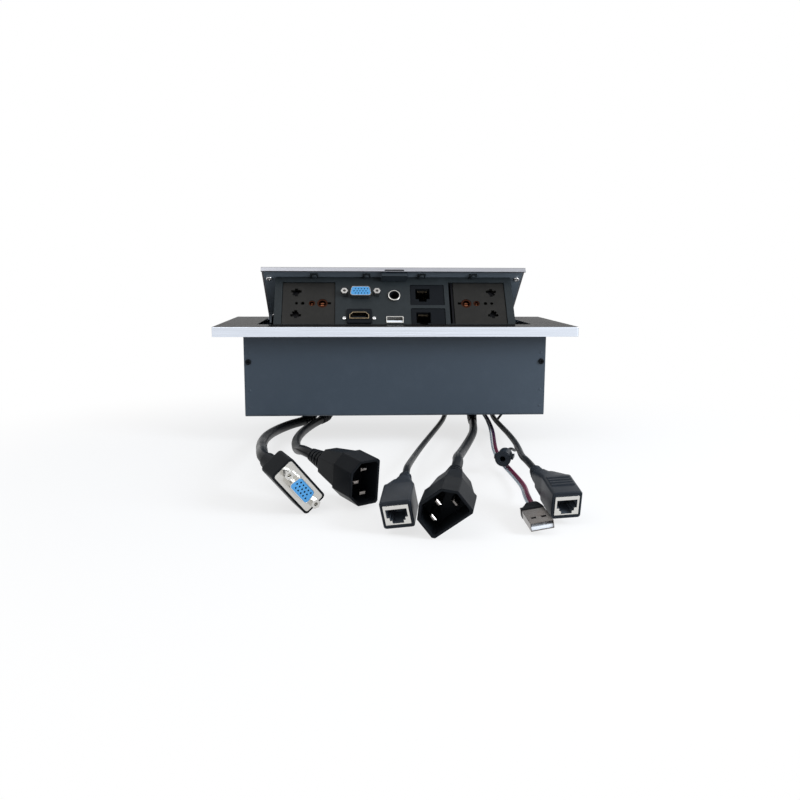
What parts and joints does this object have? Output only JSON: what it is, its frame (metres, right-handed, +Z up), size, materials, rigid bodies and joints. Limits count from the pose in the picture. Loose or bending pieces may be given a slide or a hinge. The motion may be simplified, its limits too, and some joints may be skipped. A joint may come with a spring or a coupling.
{
  "type": "desk socket box",
  "caption": "Flip-up desk socket box: a hinged flap in a desk frame carries a panel of power, display, sound and network sockets, with leads below.",
  "frame": {"origin": "centre of the desk frame, on the desk surface that the frame's rim rests on", "axes": "+Z up out of the desk, -Y towards the user, who sees the sockets, +X to that user's right"},
  "size_m": [0.266, 0.3409, 0.1333],
  "materials": {
    "frame_metal": "brushed satin",
    "cover_metal": "brushed satin",
    "liner_paint": "satin",
    "housing_paint": "satin",
    "panel_paint": "fine texture",
    "bright_steel": "satin",
    "plated": "bright",
    "module_plastic": "satin",
    "black_plastic": "satin",
    "grey_plastic": "satin",
    "blue_plastic": "satin",
    "white_plastic": "satin",
    "contact_metal": "satin",
    "gold_rim": "satin",
    "black_cord": "satin",
    "red_cord": "satin",
    "pale_cord": "satin",
    "pad_rubber": "matt"
  },
  "bodies": {
    "housing": {"top_frame": "frame_metal", "housing_shell": "housing_paint", "end_plate_left": "housing_paint", "end_plate_right": "housing_paint", "shell_screws": "bright_steel", "frame_screws": "bright_steel", "hinge_pins": "bright_steel", "lid_springs": "bright_steel", "stop_pads": "pad_rubber", "cord_glands": "black_plastic", "vga_cord": "black_cord", "mains_cord_left": "black_cord", "mains_cord_right": "black_cord", "lan_cord_left": "black_cord", "lan_cord_right": "black_cord", "usb_cord_red": "red_cord", "usb_cord_white": "pale_cord", "sound_cord": "black_cord", "vga_plug_hood": "black_plastic", "vga_plug_shell": "plated", "vga_plug_insert": "blue_plastic", "vga_plug_nuts": "plated", "mains_plug_left": "black_plastic", "mains_plug_right": "black_plastic", "mains_pins": "plated", "lan_plug_left": "grey_plastic", "lan_plug_right": "grey_plastic", "lan_plug_shells": "plated", "usb_plug_body": "black_plastic", "usb_plug_shell": "plated", "usb_plug_tongue": "white_plastic", "sound_plug": "grey_plastic"},
    "carriage": {"lid_cover": "cover_metal", "lid_liner": "liner_paint", "lid_screws": "plated", "panel_rivets": "bright_steel", "hinge_bushes": "grey_plastic", "socket_panel": "panel_paint", "carriage_tray": "liner_paint", "latch_body": "black_plastic", "socket_faces": "module_plastic", "socket_bases": "black_plastic", "socket_contacts": "contact_metal", "vga_shell": "plated", "vga_insert": "blue_plastic", "vga_nuts": "plated", "hdmi_body": "black_plastic", "hdmi_shell": "gold_rim", "hdmi_screws": "plated", "jack_body": "black_plastic", "jack_nut": "plated", "usb_shell": "plated", "usb_tongue": "white_plastic", "lan_jack_upper": "black_plastic", "lan_jack_lower": "black_plastic", "lan_contacts": "gold_rim"},
    "latch": {"latch_tongue": "bright_steel"},
    "shutter_left": {"socket_shutter_left": "black_plastic"},
    "shutter_right": {"socket_shutter_right": "black_plastic"}
  },
  "joints": [
    {"name": "lid_hinge", "type": "hinge", "parent": "housing", "child": "carriage", "pos_m": [0, 0.03721, -0.003], "axis": [1, 0, 0], "range_deg": [0, 37], "stiffness_Nm_per_rad": 0.35, "springref_deg": -60.16},
    {"name": "latch_slide", "type": "slide", "parent": "carriage", "child": "latch", "axis": [0, -0.7986, 0.6018], "range_m": [0, 0.0023]},
    {"name": "shutter_left_slide", "type": "slide", "parent": "carriage", "child": "shutter_left", "axis": [0, -0.6018, -0.7986], "range_m": [0, 0.005], "stiffness_N_per_m": 60, "springref_m": -0.003},
    {"name": "shutter_right_slide", "type": "slide", "parent": "carriage", "child": "shutter_right", "axis": [0, -0.6018, -0.7986], "range_m": [0, 0.005], "stiffness_N_per_m": 60, "springref_m": -0.003}
  ]
}
